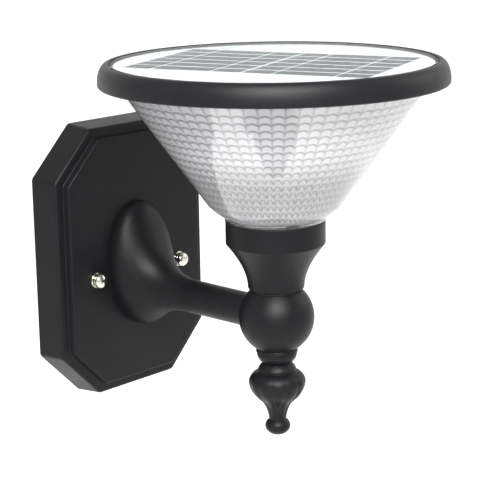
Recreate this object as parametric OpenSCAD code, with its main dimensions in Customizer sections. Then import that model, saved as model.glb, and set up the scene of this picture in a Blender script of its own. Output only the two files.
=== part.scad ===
// Solar wall light: an octagonal wall plate, an arm with an oval foot, a ball hub, and a
// head with a prismatic cone lens under a round solar panel. The head turns on the hub.
// The origin lies on the wall, midway between the two fixing screws.
// X runs along the wall, +Y into the wall, -Y out towards the viewer, +Z up.

/* [Wall plate] */
// Width of the plate at the wall
plate_w = 158; // [135:1:200]
// Height of the plate at the wall
plate_h = 216; // [190:1:280]
// Length cut off each corner, along either side
plate_cut = 38; // [25:1:50]
// Depth from the wall to the plate's flat band
plate_depth = 24.7; // [20:0.5:40]
// Wall thickness of the casting
plate_wall = 3; // [2:0.1:5]
// How far the sides lean in from back to front
plate_draft = 2; // [1:0.1:4]
// Rounding of the plate's upright corners
plate_corner_r = 5; // [4:0.5:8]
// Rounding of the plate's front edge
plate_edge = 1.8; // [1:0.1:2.4]
// Height of the plate's centre above the fixing screws
plate_up = 11.2; // [0:0.1:16]
// Width of the flat band round the raised panel
band_w = 7.4; // [5:0.1:12]
// Height of the raised panel above the band
panel_rise = 5.6; // [3:0.1:8]
// Rounding of the raised panel's edge
panel_edge = 1.2; // [0.5:0.1:1.5]

/* [Fixing bar] */
// Length of the fixing bar
bar_l = 124; // [110:1:140]
// Height of the fixing bar
bar_h = 25; // [20:1:30]
// Thickness of the fixing bar
bar_t = 2.5; // [2:0.1:4]
// How far the bar's ends stand off the wall
bar_offset = 4.5; // [4:0.1:7]
// Length of the bar's middle, which lies on the wall
bar_flat = 64; // [60:1:70]
// Distance between the centres of the two wall slots
slot_spacing = 40; // [32:1:44]
// End-to-end length of a wall slot
slot_l = 16; // [10:1:18]
// Width of a wall slot
slot_w = 5.2; // [4.2:0.1:6.5]

/* [Fixing screws] */
// Distance between the two fixing screws
stud_spacing = 88.9; // [88:0.1:98]
// Diameter of the fixing screws
stud_d = 6; // [5:0.5:6.5]
// Diameter of the round cap nuts
cap_nut_d = 11.4; // [10.5:0.1:13]
// Diameter of the washers under the cap nuts
nut_washer_d = 12; // [11:0.1:15]

/* [Arm] */
// Distance from the wall to the lamp's axis
reach = 177.3; // [160:0.5:240]
// Height of the arm and the ball's centre, from the fixing screws
arm_z = -11.8; // [-16:0.1:-4]
// Height of the arm's oval foot
foot_h = 99.2; // [90:0.1:106]
// Width of the arm's oval foot
foot_w = 61; // [54:0.1:68]
// Height of the foot's centre above the arm
foot_up = 18.3; // [14:0.1:22]
// Distance from the plate to where the foot's top has sunk halfway to the tube
foot_flare_top = 21.2; // [18:0.1:26]
// Distance from the plate to where the foot's sides have drawn in halfway
foot_flare_side = 23.4; // [20:0.1:28]
// Distance from the plate to where the foot's underside has risen halfway
foot_flare_low = 27.8; // [22:0.1:30]
// Radius of the arm where it leaves the foot
tube_r1 = 12.8; // [12.7:0.1:15]
// Radius of the arm at the ball
tube_r2 = 12.6; // [11:0.1:12.7]
// Radius of the spigot that plugs into the ball
spigot_r = 9; // [8:0.1:10]

/* [Ball and finial] */
// Radius of the ball hub
ball_r = 27.9; // [25:0.1:32]
// Height of the ball's flat top above its centre
ball_flat = 20.5; // [19:0.1:22]
// Radius of the finial's top flange
finial_flange_r = 15.4; // [13.5:0.1:17]
// Greatest radius of the finial's urn
urn_r = 21.2; // [18:0.1:24]
// Number of lobes round the urn
urn_lobes = 12; // [8:1:16]
// Depth of the valleys between the lobes
lobe_depth = 0.8; // [0.2:0.1:1.2]
// Radius of the finial's stem
stem_r = 6.4; // [5:0.1:8]
// Radius of the ball at the finial's tip
tip_r = 9.45; // [8.5:0.1:11]

/* [Swivel] */
// Diameter of the centre rod
rod_d = 10; // [8:0.5:11]
// Radial running gap between the rod and the cup
rod_gap = 0.06; // [0.02:0.01:0.1]
// Thickness of the nylon swivel washer
swivel_t = 1.2; // [0.8:0.1:2]
// Angle of the head from the arm's direction
head_turn = 18.4; // [-45:0.1:45]

/* [Neck cup] */
// Radius of the cup at the top
cup_r = 36.4; // [35.5:0.1:42]
// Radius of the cup's neck on the ball
neck_r = 19.9; // [19.4:0.1:21]
// Height of the cup
cup_h = 51.3; // [46:0.1:60]
// Height of the cup's straight band
cup_band = 16.8; // [14.8:0.1:20]
// Wall thickness of the cup
cup_wall = 4; // [3:0.1:4.5]
// Thickness of the cup's floor
cup_floor = 5; // [4:0.1:7]

/* [Prism lens] */
// How far the lens's lower lip stands out past the cup
lens_lap = 1; // [0.4:0.1:2]
// Radius where the straight cone begins
lens_r2 = 49; // [46:0.1:53]
// Radius of the lens at its top
lens_r3 = 113.6; // [111:0.1:114.4]
// Height of the curved foot of the lens
lens_curve_h = 11.7; // [9:0.1:15]
// Height of the lens
lens_h = 102.9; // [92:0.1:115]
// Wall thickness of the lens
lens_wall = 3; // [2.2:0.1:4]
// Height of the plain lip at the foot of the lens
lens_lip = 2.4; // [1.5:0.1:4]
// Number of prism columns round the lens
prism_cols = 72; // [48:1:80]
// Number of prism rows up the lens
prism_rows = 18; // [12:1:20]
// Height of the tall row at the top, in ordinary rows
tall_row = 1.7; // [1:0.1:2.5]
// Depth of the hollow prisms on the inside of the lens
prism_depth = 1.4; // [0.3:0.1:1.8]

/* [LED unit] */
// Number of LEDs on the board
led_count = 12; // [6:1:16]
// Top radius of the frosted LED cover
led_cover_r2 = 14; // [10:0.5:18]
// Height of the frosted LED cover
led_cover_h = 26; // [18:1:34]

/* [Head] */
// How far the rim stands out past the top of the lens
rim_lap = 11.4; // [11:0.1:18]
// Height of the rim
rim_h = 16; // [15.4:0.1:18]
// Width of the rim's top, round the glass
rim_lip = 8; // [7:0.1:8.6]
// Thickness of the cover glass
glass_t = 3.2; // [2.5:0.1:4]
// Length of the field of solar cells
cells_l = 181; // [150:1:186]
// Width of the field of solar cells
cells_w = 115; // [90:1:118]
// Number of cell strips side by side
cell_strips = 6; // [4:1:8]
// Gap between neighbouring cells
cell_gap = 1.2; // [0.6:0.1:2.5]
// Depth of the tray below its flange
tray_depth = 15.4; // [15.2:0.1:16.5]
// Number of screws that hold the lens and tray in the rim
rim_screws = 6; // [4:1:8]

/* [Battery and board] */
// Diameter of a battery cell
battery_d = 18.4; // [14:0.1:18.4]
// Length of a battery cell
battery_l = 65; // [50:1:70]
// Length of the charging board
board_l = 60; // [40:1:70]
// Width of the charging board
board_w = 34; // [25:1:40]

/* [Power button] */
// Angle of the switch round the head, from the head's rear
switch_turn = -40; // [-60:1:60]
// Diameter of the switch's threaded barrel
switch_d = 12; // [10:0.5:14]
// Diameter of the button
button_d = 8; // [5:0.5:9]
// Travel of the button
button_travel = 1.5; // [0.8:0.1:2]

/* [Hidden] */

$fn = 96;

// Colours
black_paint = [0.13, 0.13, 0.14];
zinc = [0.72, 0.73, 0.74];
stainless = [0.82, 0.82, 0.80];
dark_rubber = [0.08, 0.08, 0.08];
white_plastic = [0.93, 0.93, 0.92];
clear_plastic = [0.86, 0.89, 0.92, 0.45];
frosted_plastic = [0.78, 0.83, 0.88, 0.8];
board_green = [0.10, 0.36, 0.20];
cell_grey = [0.40, 0.41, 0.45];

// Small clearances shared by the fits
thread_gap = 0.05;   // radial gap round a screw in its own thread
slip_gap = 0.3;      // gap round a screw in a plain hole
seat_gap = 0.2;      // gap round a piece laid in a pocket
eps = 0.01;          // overlap that joins two parts of one piece

// Small hardware
m3 = 3;
m4 = 4;
m5 = 5;
head_ratio = 1.8;    // width of a screw's head against its thread
head_h_ratio = 0.6;  // height of a screw's head against its thread

// Heights and depths of the wall side
corner_steps = 3;                           // facets round a corner of the plate
band_y = plate_depth;                       // flat band, out from the wall
face_y = plate_depth + panel_rise;          // face of the raised panel
inner_y = face_y - plate_wall;              // inside of the plate's front wall
foot_z = arm_z + foot_up;                   // centre of the arm's oval foot
stud_x = stud_spacing / 2;
nut_washer_t = 1.2;
cap_nut_base = 2.6;                         // straight collar of a cap nut
cap_nut_dome = 5;                           // domed part of a cap nut
cap_nut_r = cap_nut_d / 2;
lock_nut_t = 5;
lock_nut_w = stud_d * 1.66;
arm_screw_z = foot_h * 0.31;
arm_screw_l = 14;                           // depth of the screw's thread in the foot
pocket_r = foot_w * 0.22;
pocket_d = foot_flare_top * 0.7;
pocket_z = arm_screw_z - m5 / 2 - 3 - pocket_r;     // centres of the pocket's round ends
foot_end = 56;                              // where the foot has become the tube

// The stack on the lamp's axis
boss_out = 4.6;                             // radius of a boss
boss_r = cup_r - cup_wall - boss_out - 1.8; // pitch radius of the cup's bosses
boss_angles = [for (i = [0:2]) switch_turn + 30 + 120 * i];
ball_top = arm_z + ball_flat;               // flat seat on top of the ball
ball_low = arm_z - sqrt(pow(ball_r, 2) - pow(finial_flange_r + seat_gap, 2));
cup_z = ball_top + swivel_t;
cup_top = cup_z + cup_h;
neck_floor = cup_z + cup_floor;
clamp_washer_t = 1.5;
clamp_nut_t = 8;
clamp_nut_w = rod_d * 1.7;
rod_r = rod_d / 2;
rod_slip = 0.1;                             // radial gap round the rod in the ball and spigot
rod_past = 3;                               // rod beyond its clamp nut
rod_in = 26;                                // rod inside the finial
rod_top = neck_floor + clamp_washer_t + clamp_nut_t + rod_past;
rod_low = ball_low - rod_in;
seat_sink = 1;                              // how far the arm's end is let into the ball
seat_depth = sqrt(pow(ball_r, 2) - pow(tube_r2, 2)) - seat_sink;   // from the ball's centre
tube_end = reach - seat_depth;
spigot_past = rod_r + 6;                    // spigot beyond the lamp's axis

// The head
seal_t = 1;
lens_r1 = cup_r + lens_lap;                 // radius of the lens's lower lip
lens_z = cup_top + seal_t;
lens_floor = 3;
lens_in_r = lens_r1 - lens_wall - 0.6;      // inside of the lens at its floor
lens_hole_r = boss_r + boss_out + slip_gap; // opening in the lens's floor
lens_top = lens_z + lens_h;
lens_flange_t = 2.2;
knee_pull = [5.2, 5.6];                     // how far the curved foot's control point lies from its top
lens_screw_l = 13;                          // lens screw below its head
tray_flange_t = 2.2;
ledge_z = lens_top + tray_flange_t;
ledge_t = 4.4;
ledge_top = ledge_z + ledge_t;
backing_t = 1;
backing_z = ledge_top + seat_gap;
cell_t = 0.2;
cell_z = backing_z + backing_t;
ribbon_t = 0.1;
glass_z = cell_z + cell_t + ribbon_t + 0.1;
glass_top = glass_z + glass_t;
rim_top = glass_top + 0.3;
rim_low = rim_top - rim_h;
rim_r = lens_r3 + rim_lap;                   // greatest radius of the rim
rim_open_r = rim_r - rim_lip;                // opening for the glass
glass_r = rim_open_r - 1.2;                  // cover glass, with its seal round it
rim_wall = 3.5;
lens_flange_r = lens_r3 + 2.6;
rim_screw_r = lens_flange_r + m3 / 2 + seat_gap;  // the screws pass beside the lens's flange
tray_flange_r = rim_r - rim_wall - 0.5;
ledge_r = lens_r3 - 4.6;
seal_in = glass_r - 2;
tray_wall = 2;
tray_low = lens_top - tray_depth;
tray_floor = tray_low + tray_wall;
cone_lean = (lens_r3 - lens_r2) / (lens_h - lens_curve_h);
wall_across = lens_wall * sqrt(1 + pow(cone_lean, 2));   // lens wall measured level
button_z = cup_top - cup_band / 2;

// Outer radius of the lens's cone at a height above the lens's foot
function lens_radius(h) = lens_r2 + (h - lens_curve_h) * cone_lean;

// Points of a quadratic curve from a to c, drawn towards b
function curve(a, b, c, steps) =
    [for (i = [0:steps]) let (t = i / steps) a * pow(1 - t, 2) + b * 2 * t * (1 - t) + c * t * t];

// Points of an arc round a centre, as [radius, height]
function arc(centre, rx, ry, a0, a1, steps) =
    [for (i = [0:steps]) let (a = a0 + (a1 - a0) * i / steps) centre + [rx * cos(a), ry * sin(a)]];

// A solid lofted through rings that all have the same number of points
module loft(rings) {
    m = len(rings[0]);
    n = len(rings);
    sides = [for (i = [0:n - 2], j = [0:m - 1]) let (k = (j + 1) % m)
        for (f = [[i * m + j, (i + 1) * m + k, i * m + k],
                  [i * m + j, (i + 1) * m + j, (i + 1) * m + k]]) f];
    caps = [[for (j = [0:m - 1]) j], [for (j = [m - 1:-1:0]) (n - 1) * m + j]];
    polyhedron(points = [for (r = rings) each r], faces = concat(sides, caps), convexity = 4);
}

// Turns a shape drawn on the wall, outwards along +Z, to face the viewer
module on_wall() {
    rotate([90, 0, 0]) children();
}

// Places a shape on the lamp's axis
module on_axis() {
    translate([0, -reach, 0]) children();
}

// Places a shape on the lamp's axis, turned with the head
module on_head() {
    on_axis() rotate([0, 0, head_turn]) children();
}

// A ring between two radii
module ring(r_out, r_in, h) {
    difference() {
        cylinder(r = r_out, h = h);
        translate([0, 0, -1]) cylinder(r = r_in, h = h + 2);
    }
}

// A screw with its head below z = 0 and its thread above
module screw(d, l) {
    translate([0, 0, -d * head_h_ratio]) cylinder(d = d * head_ratio, h = d * head_h_ratio);
    translate([0, 0, -eps]) cylinder(d = d, h = l + eps);
}

// One outline of the plate: an octagon with round corners, at a depth out from the wall
function plate_outline(inset, depth, corner_r) =
    let (in = inset + corner_r,
         half_w = plate_w / 2 - in,
         half_h = plate_h / 2 - in,
         cut = plate_cut - in * (2 - sqrt(2)),
         corners = [[half_w, half_h - cut], [half_w - cut, half_h],
                    [cut - half_w, half_h], [-half_w, half_h - cut],
                    [-half_w, cut - half_h], [cut - half_w, -half_h],
                    [half_w - cut, -half_h], [half_w, cut - half_h]])
    [for (k = [0:7], i = [0:corner_steps]) let (a = 45 * (k + i / corner_steps))
        [corners[k][0] + corner_r * cos(a), corners[k][1] + corner_r * sin(a), depth]];

module wall_plate() {
    small_r = plate_corner_r * 0.6;
    edge = plate_edge;
    bend = 0.3;                               // how far a rounding's middle point lies from its ends
    step_in = plate_draft + band_w;           // foot of the step up to the raised panel
    top_in = step_in + panel_rise * 0.16;     // head of that step
    cove = 0.9;
    inner_band_y = band_y - plate_wall;
    color(black_paint) translate([0, 0, plate_up]) on_wall() difference() {
        loft([plate_outline(top_in + plate_wall + cove, inner_y, small_r),
              plate_outline(top_in + plate_wall, inner_y - cove, small_r),
              plate_outline(step_in + plate_wall, inner_band_y, small_r),
              plate_outline(plate_draft + plate_wall + cove, inner_band_y, small_r),
              plate_outline(plate_draft + plate_wall, inner_band_y - cove, small_r),
              plate_outline(plate_wall, 0, small_r),
              plate_outline(0, 0, plate_corner_r),
              plate_outline(plate_draft, band_y - edge, plate_corner_r),
              plate_outline(plate_draft + edge * bend, band_y - edge * bend, plate_corner_r * 0.9),
              plate_outline(plate_draft + edge, band_y, plate_corner_r * 0.8),
              plate_outline(step_in - cove, band_y, small_r),
              plate_outline(step_in, band_y + cove, small_r),
              plate_outline(top_in, face_y - panel_edge, small_r),
              plate_outline(top_in + panel_edge * bend, face_y - panel_edge * bend, small_r),
              plate_outline(top_in + panel_edge, face_y, small_r)]);
        for (x = [-stud_x, stud_x])
            translate([x, -plate_up, 1]) cylinder(r = stud_d / 2 + slip_gap, h = face_y);
        for (s = [-1, 1])
            translate([0, foot_z + s * arm_screw_z - plate_up, 1])
                cylinder(r = m5 / 2 + slip_gap, h = face_y);
    }
}

module mounting_bar() {
    ramp = bar_offset * 1.4;
    half = bar_flat / 2;
    outer = [[-bar_l / 2, bar_offset], [-half - ramp, bar_offset], [-half, 0],
             [half, 0], [half + ramp, bar_offset], [bar_l / 2, bar_offset]];
    profile = concat(outer, [for (i = [5:-1:0]) outer[i] + [0, bar_t]]);
    color(zinc) difference() {
        translate([0, 0, -bar_h / 2]) linear_extrude(bar_h) mirror([0, 1]) polygon(profile);
        on_wall() {
            for (s = [-1, 1]) {
                for (e = [-1, 1])
                    translate([s * slot_spacing / 2 + e * (slot_l - slot_w) / 2, 0, -1])
                        cylinder(d = slot_w, h = bar_t + 2);
                translate([s * slot_spacing / 2 - (slot_l - slot_w) / 2, -slot_w / 2, -1])
                    cube([slot_l - slot_w, slot_w, bar_t + 2]);
                translate([s * stud_x, 0, 0])
                    cylinder(r = stud_d / 2 + thread_gap, h = bar_offset + bar_t + 1);
            }
        }
    }
}

module fixing_screws() {
    head = bar_offset - 0.5;
    tip = face_y + nut_washer_t + cap_nut_base + 1.5;
    color(stainless) on_wall() for (x = [-stud_x, stud_x]) translate([x, 0, 0]) {
        translate([0, 0, bar_offset - head]) cylinder(d = stud_d * head_ratio, h = head);
        translate([0, 0, bar_offset - eps]) cylinder(d = stud_d, h = tip - bar_offset);
    }
}

module lock_nuts() {
    color(stainless) on_wall() for (x = [-stud_x, stud_x])
        translate([x, 0, bar_offset + bar_t]) difference() {
            cylinder(d = lock_nut_w / cos(30), h = lock_nut_t, $fn = 6);
            translate([0, 0, -1]) cylinder(r = stud_d / 2 + thread_gap, h = lock_nut_t + 2);
        }
}

module nut_washers() {
    color(stainless) on_wall() for (x = [-stud_x, stud_x])
        translate([x, 0, face_y]) ring(nut_washer_d / 2, stud_d / 2 + slip_gap, nut_washer_t);
}

module cap_nuts() {
    waist_r = cap_nut_r - 0.6;
    equator = cap_nut_base + 1.4;
    color(stainless) on_wall() for (x = [-stud_x, stud_x])
        translate([x, 0, face_y + nut_washer_t]) difference() {
            rotate_extrude() polygon(concat(
                [[0, 0], [waist_r + 0.2, 0], [waist_r + 0.2, cap_nut_base - 0.3],
                 [waist_r - 0.1, cap_nut_base], [cap_nut_r - 0.2, cap_nut_base + 0.6]],
                arc([0, equator], cap_nut_r, cap_nut_dome - 1.4, 0, 90, 10)));
            translate([0, 0, -1]) cylinder(r = stud_d / 2 + thread_gap, h = cap_nut_base + 3);
        }
}

// How sharply the foot's top, sides and underside turn from plate to tube
bend_top = 3;
bend_side = 2.6;
bend_low = 3.7;

// Share of the foot's swelling that is left at a distance out from the plate
function foot_share(s, flare, bend) = (1 - pow(s / foot_end, 3)) / (1 + pow(s / flare, bend));

// One section of the arm, an oval at a distance out from the plate's face
function arm_section(s, points) =
    let (swell_top = foot_z + foot_h / 2 - arm_z - tube_r1,
         swell_low = arm_z - tube_r1 - foot_z + foot_h / 2,
         top = arm_z + tube_r1 + swell_top * foot_share(s, foot_flare_top, bend_top),
         low = arm_z - tube_r1 - swell_low * foot_share(s, foot_flare_low, bend_low),
         half_w = tube_r1 + (foot_w / 2 - tube_r1) * foot_share(s, foot_flare_side, bend_side))
    [for (j = [0:points - 1]) let (a = 360 * j / points)
        [half_w * cos(a), -face_y - s, (top + low) / 2 + (top - low) / 2 * sin(a)]];

module arm() {
    steps = 22;
    around = 40;
    tube_start = face_y + foot_end;
    color(black_paint) difference() {
        union() {
            loft([for (i = [0:steps]) arm_section(foot_end * i / steps, around)]);
            translate([0, 0, arm_z]) on_wall() {
                translate([0, 0, tube_start - 1])
                    cylinder(r1 = tube_r1, r2 = tube_r2, h = tube_end - tube_start + 1);
                translate([0, 0, tube_end - eps])
                    cylinder(r = spigot_r, h = reach + spigot_past - tube_end);
            }
        }
        on_wall() {
            hull() for (s = [-1, 1])
                translate([0, foot_z + s * pocket_z, 0])
                    cylinder(r = pocket_r, h = face_y + pocket_d, $fn = 32);
            for (s = [-1, 1])
                translate([0, foot_z + s * arm_screw_z, face_y - 1])
                    cylinder(r = m5 / 2 + thread_gap, h = arm_screw_l);
        }
        translate([0, -reach, arm_z - ball_r]) cylinder(r = rod_r + rod_slip, h = 2 * ball_r);
    }
}

module arm_screws() {
    color(zinc) on_wall() for (s = [-1, 1])
        translate([0, foot_z + s * arm_screw_z, inner_y]) screw(m5, arm_screw_l - 2);
}

module ball_hub() {
    color(black_paint) on_axis() difference() {
        translate([0, 0, arm_z]) sphere(r = ball_r);
        translate([0, 0, ball_top]) cylinder(r = ball_r, h = ball_r);
        translate([0, 0, ball_low - ball_r]) cylinder(r = ball_r, h = ball_r);
        translate([0, 0, arm_z - ball_r]) cylinder(r = rod_r + rod_slip, h = 2 * ball_r);
        translate([0, 0, arm_z]) rotate([-90, 0, 0]) {
            translate([0, 0, seat_depth - thread_gap]) cylinder(r = tube_r2 + thread_gap, h = ball_r);
            translate([0, 0, -spigot_past - slip_gap])
                cylinder(r = spigot_r + thread_gap, h = ball_r + spigot_past);
        }
    }
}

module center_rod() {
    color(zinc) on_axis() translate([0, 0, rod_low]) cylinder(r = rod_r, h = rod_top - rod_low);
}

// Heights on the finial, measured down from the ball's centre
flange_low = 27;
neck_low = 35.2;
collar_low = 41.4;
urn_mid = 50;
belly_end = 63;
urn_low = 66;
stem_low = 78.6;
tip_mid = 84.4;
tip_h = 7;
neck_in = 10.7;
collar_r = 14.2;

// Outline of the urn, from the collar down to the stem
function urn_outline(steps) =
    let (belly_low = [urn_r * 0.66, -belly_end])
    concat(
        curve([collar_r, -collar_low], [urn_r - 0.4, -collar_low - 2.4], [urn_r, -urn_mid], steps),
        [for (p = curve([urn_r, -urn_mid], [urn_r - 0.6, -urn_mid - 7.5], belly_low, steps))
            if (p[1] < -urn_mid - eps) p],
        [for (p = curve(belly_low, [stem_r + 1.4, -urn_low - 1], [stem_r, -stem_low], steps))
            if (p[1] < -belly_end - eps) p]);

module finial() {
    outline = urn_outline(6);
    tall = stem_low - collar_low;
    around = urn_lobes * 6;
    color(black_paint) on_axis() difference() {
        translate([0, 0, arm_z]) {
            rotate_extrude() polygon(concat(
                [[0, -urn_mid], [0, ball_low - arm_z], [finial_flange_r, ball_low - arm_z],
                 [finial_flange_r, -flange_low + 0.6], [finial_flange_r - 0.8, -flange_low]],
                curve([finial_flange_r - 0.6, -flange_low - 1], [finial_flange_r - 0.6, -neck_low + 4],
                      [neck_in + 0.6, -neck_low + 0.8], 4),
                curve([neck_in, -neck_low], [collar_r + 0.6, -neck_low - 3.4],
                      [collar_r - 0.3, -collar_low + eps], 4),
                [[collar_r - 0.3, -collar_low - eps], [neck_in, -urn_mid]]));
            loft([for (i = [len(outline) - 1:-1:0]) let (p = outline[i], down = (-p[1] - collar_low) / tall)
                [for (j = [0:around - 1]) let (a = 360 * j / around,
                    dip = lobe_depth * sin(180 * down) * (1 - abs(sin(a * urn_lobes / 2))))
                    [(p[0] - dip) * cos(a), (p[0] - dip) * sin(a), p[1]]]]);
            rotate_extrude() polygon(concat([[0, -stem_low + 1], [stem_r - 0.2, -stem_low + 1]],
                arc([0, -tip_mid], tip_r, tip_h, 48, -90, 14)));
        }
        translate([0, 0, rod_low - 2]) cylinder(r = rod_r + thread_gap, h = ball_low - rod_low + 3);
    }
}

module swivel_washer() {
    color(dark_rubber) on_axis() translate([0, 0, ball_top]) ring(neck_r - 1.6, rod_r + 0.2, swivel_t);
}

module clamp_washer() {
    color(stainless) on_axis() translate([0, 0, neck_floor])
        ring(neck_r - cup_wall - 4, rod_r + 0.2, clamp_washer_t);
}

module clamp_nut() {
    color(zinc) on_axis() translate([0, 0, neck_floor + clamp_washer_t]) difference() {
        cylinder(d = clamp_nut_w / cos(30), h = clamp_nut_t, $fn = 6);
        translate([0, 0, -1]) cylinder(r = rod_r + thread_gap, h = clamp_nut_t + 2);
    }
}

module neck_cup() {
    band_low = cup_h - cup_band;
    flare = curve([neck_r + 0.8, 1.2], [neck_r + 1, band_low * 0.46], [cup_r, band_low], 20);
    inner = [for (p = flare) if (p[1] > cup_floor) [p[0] - cup_wall, p[1]]];
    boss_low = band_low + 1;
    boss_top = cup_h + seal_t + lens_floor;
    boss_web = 3;
    color(black_paint) on_head() translate([0, 0, cup_z]) difference() {
        union() {
            rotate_extrude() polygon(concat(
                [[0, 0], [neck_r, 0]], flare, [[cup_r, cup_h - 0.5], [cup_r - 0.5, cup_h],
                 [cup_r - cup_wall, cup_h], [cup_r - cup_wall, band_low]],
                [for (i = [len(inner) - 1:-1:0]) inner[i]],
                [[inner[0][0], cup_floor], [0, cup_floor]]));
            for (a = boss_angles) rotate([0, 0, a]) {
                translate([boss_r, 0, boss_low]) cylinder(r = boss_out, h = boss_top - boss_low);
                translate([boss_r, -boss_web / 2, boss_low])
                    cube([cup_r - cup_wall / 2 - boss_r, boss_web, cup_band - 3]);
            }
        }
        translate([0, 0, -1]) cylinder(r = rod_r + rod_gap, h = cup_floor + 2);
        for (a = boss_angles) rotate([0, 0, a])
            translate([boss_r, 0, boss_top - lens_screw_l])
                cylinder(r = m4 / 2 + thread_gap, h = lens_screw_l + 1);
        rotate([0, 0, switch_turn]) translate([0, cup_r, button_z - cup_z]) rotate([-90, 0, 0]) {
            translate([0, 0, -cup_wall - 2]) cylinder(r = switch_d / 2 + thread_gap, h = cup_wall + 4);
            translate([0, 0, -spot_d]) cylinder(r = bezel_r + seat_gap, h = 4);
        }
    }
}

module lens_seal() {
    color(dark_rubber) on_head() translate([0, 0, cup_top])
        ring(cup_r - 0.6, cup_r - cup_wall + 0.4, seal_t);
}

// Point at a share of the way along a list of points
function point_along(pts, share) =
    let (x = share * (len(pts) - 1), i = min(floor(x), len(pts) - 2))
    pts[i] + (pts[i + 1] - pts[i]) * (x - i);

// Edges of the prism rows up the inside of the lens, from its floor to its top
function row_edges() =
    let (knee = [lens_r2 - wall_across, lens_curve_h],
         top = [lens_r3 - wall_across, lens_h],
         foot = curve([lens_in_r, lens_floor], knee - knee_pull, knee, 8),
         foot_l = norm(knee - foot[0]),
         all_l = foot_l + norm(top - knee),
         row_l = all_l / (prism_rows - 1 + tall_row))
    [for (i = [0:prism_rows]) let (s = (i < prism_rows) ? i * row_l : all_l)
        (s < foot_l) ? point_along(foot, s / foot_l)
                     : knee + (top - knee) * (s - foot_l) / (all_l - foot_l)];

// A point round the lens at a column's angle
function lens_point(p, column) =
    let (a = (column + 0.5) * 360 / prism_cols) [p[0] * cos(a), p[0] * sin(a), p[1]];

// The lens is one closed surface: the smooth outside, the flange, rows of hollow prisms
// down the inside, and the floor, whose opening clears the cup's bosses
module prism_lens() {
    m = prism_cols;
    outside = concat([[lens_r1 - 0.4, 0]],
        curve([lens_r1, lens_lip], [lens_r2, lens_curve_h] - knee_pull, [lens_r2, lens_curve_h], 8),
        [[lens_radius(lens_h - lens_flange_t), lens_h - lens_flange_t],
         [lens_flange_r, lens_h - lens_flange_t], [lens_flange_r, lens_h]]);
    edges = row_edges();
    rows = len(edges) - 1;
    first = len(outside);
    inside = [for (i = [rows:-1:0]) edges[i]];
    rings = concat(outside, inside, [[lens_hole_r, lens_floor], [lens_hole_r, 0]]);
    n = len(rings);
    corners = [for (p = rings, j = [0:m - 1]) lens_point(p, j)];
    peaks = [for (i = [0:rows - 1], j = [0:m - 1])
        let (high = inside[i], low = inside[i + 1], along = (high - low) / norm(high - low))
        lens_point((low + high) / 2 + [along[1], -along[0]] * prism_depth, j + 0.5)];
    faces = [for (i = [0:n - 1], j = [0:m - 1])
        let (k = (j + 1) % m, next = (i + 1) % n, a = i * m + j, b = i * m + k,
             c = next * m + j, d = next * m + k, row = i - first, peak = (n + row) * m + j)
        for (f = (row >= 0 && row < rows) ? [[a, peak, b], [b, peak, d], [d, peak, c], [c, peak, a]]
                                          : [[a, d, b], [a, c, d]]) f];
    color(clear_plastic) on_head() translate([0, 0, lens_z])
        polyhedron(points = concat(corners, peaks), faces = faces, convexity = 6);
}

led_base_t = 3;
led_base_z = lens_z + lens_floor;
led_base_top = led_base_z + led_base_t;
led_board_t = 1.6;
led_chip_h = 0.8;
led_cover_wall = 1.5;
led_cover_r1 = boss_r - m4 * head_ratio / 2 - 0.4;  // clear of the lens screws' heads
led_board_r = led_cover_r1 - led_cover_wall - 1.5;
led_step = 1.2;
wire_hole_r = 3;

module lens_screws() {
    color(stainless) on_head() for (a = boss_angles) rotate([0, 0, a])
        translate([boss_r, 0, led_base_top]) rotate([180, 0, 0]) screw(m4, lens_screw_l);
}

module led_base() {
    color(white_plastic) on_head() translate([0, 0, led_base_z]) difference() {
        union() {
            cylinder(r = lens_in_r - seat_gap, h = led_base_t);
            translate([0, 0, led_base_t - eps])
                cylinder(r = led_cover_r1 - led_cover_wall - seat_gap, h = led_step);
        }
        for (a = boss_angles) rotate([0, 0, a])
            translate([boss_r, 0, -1]) cylinder(r = m4 / 2 + slip_gap, h = led_base_t + 2);
        translate([0, 0, -1]) cylinder(r = wire_hole_r, h = led_base_t + led_step + 2);
    }
}

module led_board() {
    color(white_plastic) on_head() translate([0, 0, led_base_top + led_step])
        cylinder(r = led_board_r, h = led_board_t);
}

module led_chips() {
    size = 3.2;
    inset = 5;                                // from the board's edge to the far side of a chip
    color([0.95, 0.85, 0.45]) on_head() for (i = [0:led_count - 1]) rotate([0, 0, i * 360 / led_count])
        translate([led_board_r - inset, -size / 2, led_base_top + led_step + led_board_t])
            cube([size, size, led_chip_h]);
}

module led_cover() {
    w = led_cover_wall;
    h = led_cover_h;
    color(frosted_plastic) on_head() translate([0, 0, led_base_top]) rotate_extrude()
        polygon([[led_cover_r1 - w, 0], [led_cover_r1, 0], [led_cover_r1, 2],
                 [led_cover_r2, h - 2], [led_cover_r2 - 2, h], [0, h], [0, h - w],
                 [led_cover_r2 - 2 - w * 0.5, h - w], [led_cover_r2 - w, h - 2 - w * 0.5],
                 [led_cover_r1 - w, 2]]);
}

// A round tube along a route, each ring square to the route
function tube_ring(pts, i, r, sides) =
    let (last = len(pts) - 1,
         d0 = pts[min(i + 1, last)] - pts[max(i - 1, 0)], d = d0 / norm(d0),
         u0 = cross(d, [0, 1, 0]), u = u0 / norm(u0), v = cross(u, d))
    [for (j = [0:sides - 1]) let (a = 360 * j / sides) pts[i] + (u * cos(a) + v * sin(a)) * r];

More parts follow.
